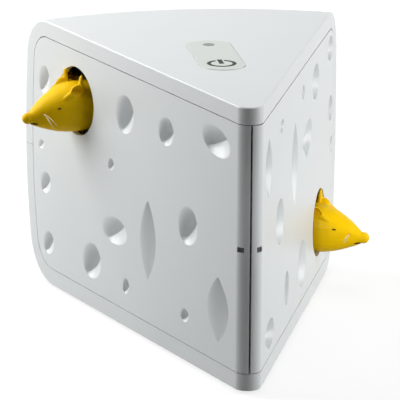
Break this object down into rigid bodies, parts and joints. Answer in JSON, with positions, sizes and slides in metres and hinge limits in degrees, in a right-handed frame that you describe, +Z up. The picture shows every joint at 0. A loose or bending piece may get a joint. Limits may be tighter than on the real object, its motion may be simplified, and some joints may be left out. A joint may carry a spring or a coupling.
{
  "type": "automatic cheese cat toy",
  "caption": "Wedge-shaped cheese cat toy with two motor-driven mice that swing out of holes in its sides.",
  "frame": {"origin": "centre of the bottom of the bounding box, on the surface that the toy's feet stand on", "axes": "+Z up; +Y from the sharp apex of the wedge towards the rind; +X to the right when the toy is seen from its apex"},
  "size_m": [0.1966, 0.2602, 0.1538],
  "materials": {
    "white_plastic": "glossy white moulded plastic",
    "pad_grey": "satin light grey plastic",
    "mouse_yellow": "satin yellow plastic",
    "black_plastic": "black plastic",
    "ivory_plastic": "natural acetal",
    "steel": "plated steel",
    "motor_can": "plated can",
    "bronze": "sintered bronze",
    "board_green": "green solder mask",
    "cell_wrap": "dark printed wrap, left plain",
    "rubber": "matt rubber",
    "clear_plastic": "clear light guide"
  },
  "bodies": {
    "root": {"upper_shell": "white_plastic", "lower_shell": "white_plastic", "drive_deck": "black_plastic", "left_side_panel": "white_plastic", "right_side_panel": "white_plastic", "left_idler_axle": "steel", "left_gear_motor": "motor_can", "left_deck_bushing": "bronze", "left_far_bushing": "bronze", "right_idler_axle": "steel", "right_gear_motor": "motor_can", "right_deck_bushing": "bronze", "right_far_bushing": "bronze", "case_screw_front": "steel", "case_screw_left": "steel", "case_screw_right": "steel", "deck_screw_front": "steel", "deck_screw_left": "steel", "deck_screw_right": "steel", "board_screw_front": "steel", "board_screw_rear": "steel", "battery_cell_left": "cell_wrap", "battery_cell_middle": "cell_wrap", "battery_cell_right": "cell_wrap", "battery_contact_plate": "steel", "battery_contact_springs": "steel", "battery_door": "white_plastic", "battery_door_screw": "steel", "circuit_board": "board_green", "tact_switch": "black_plastic", "power_led": "clear_plastic", "front_foot": "rubber", "left_foot": "rubber", "right_foot": "rubber"},
    "left_mouse": {"left_mouse_head": "mouse_yellow", "left_mouse_front_eye": "black_plastic", "left_mouse_rear_eye": "black_plastic", "left_mouse_shaft": "steel", "left_sector_gear": "ivory_plastic"},
    "left_idler": {"left_idler_gear": "ivory_plastic"},
    "left_motor_gear": {"left_pinion": "bronze"},
    "right_mouse": {"right_mouse_head": "mouse_yellow", "right_mouse_front_eye": "black_plastic", "right_mouse_rear_eye": "black_plastic", "right_mouse_shaft": "steel", "right_sector_gear": "ivory_plastic"},
    "right_idler": {"right_idler_gear": "ivory_plastic"},
    "right_motor_gear": {"right_pinion": "bronze"},
    "control_pad": {"power_button": "pad_grey", "led_window": "clear_plastic"}
  },
  "joints": [
    {"name": "left_mouse_swing", "type": "hinge", "parent": "root", "child": "left_mouse", "pos_m": [-0.06938, 0.07874, 0.11575], "axis": [0, 0, 1], "range_deg": [-8, 88]},
    {"name": "left_idler_turn", "type": "hinge", "parent": "root", "child": "left_idler", "pos_m": [-0.05428, 0.08404, 0.0867], "axis": [0, 0, 1], "range_deg": [-146.7, 13.4]},
    {"name": "left_pinion_turn", "type": "hinge", "parent": "root", "child": "left_motor_gear", "pos_m": [-0.03729, 0.09, 0.0867], "axis": [0, 0, 1], "range_deg": [-26.7, 293.4]},
    {"name": "right_mouse_swing", "type": "hinge", "parent": "root", "child": "right_mouse", "pos_m": [0.07333, 0.08355, 0.04], "axis": [0, 0, -1], "range_deg": [-14, 82]},
    {"name": "right_idler_turn", "type": "hinge", "parent": "root", "child": "right_idler", "pos_m": [0.05824, 0.08885, 0.0703], "axis": [0, 0, -1], "range_deg": [-136.7, 23.4]},
    {"name": "right_pinion_turn", "type": "hinge", "parent": "root", "child": "right_motor_gear", "pos_m": [0.04125, 0.09481, 0.0703], "axis": [0, 0, -1], "range_deg": [-46.7, 273.4]},
    {"name": "control_pad_press", "type": "slide", "parent": "root", "child": "control_pad", "axis": [0, 0, -1], "range_m": [0, 0.001], "stiffness_N_per_m": 600, "springref_m": -0.001}
  ],
  "couplings": [
    {"joint": "left_idler_turn", "follows": "left_mouse_swing", "ratio": -1.6667},
    {"joint": "left_pinion_turn", "follows": "left_mouse_swing", "ratio": 3.3333},
    {"joint": "right_idler_turn", "follows": "right_mouse_swing", "ratio": -1.6667},
    {"joint": "right_pinion_turn", "follows": "right_mouse_swing", "ratio": 3.3333}
  ]
}
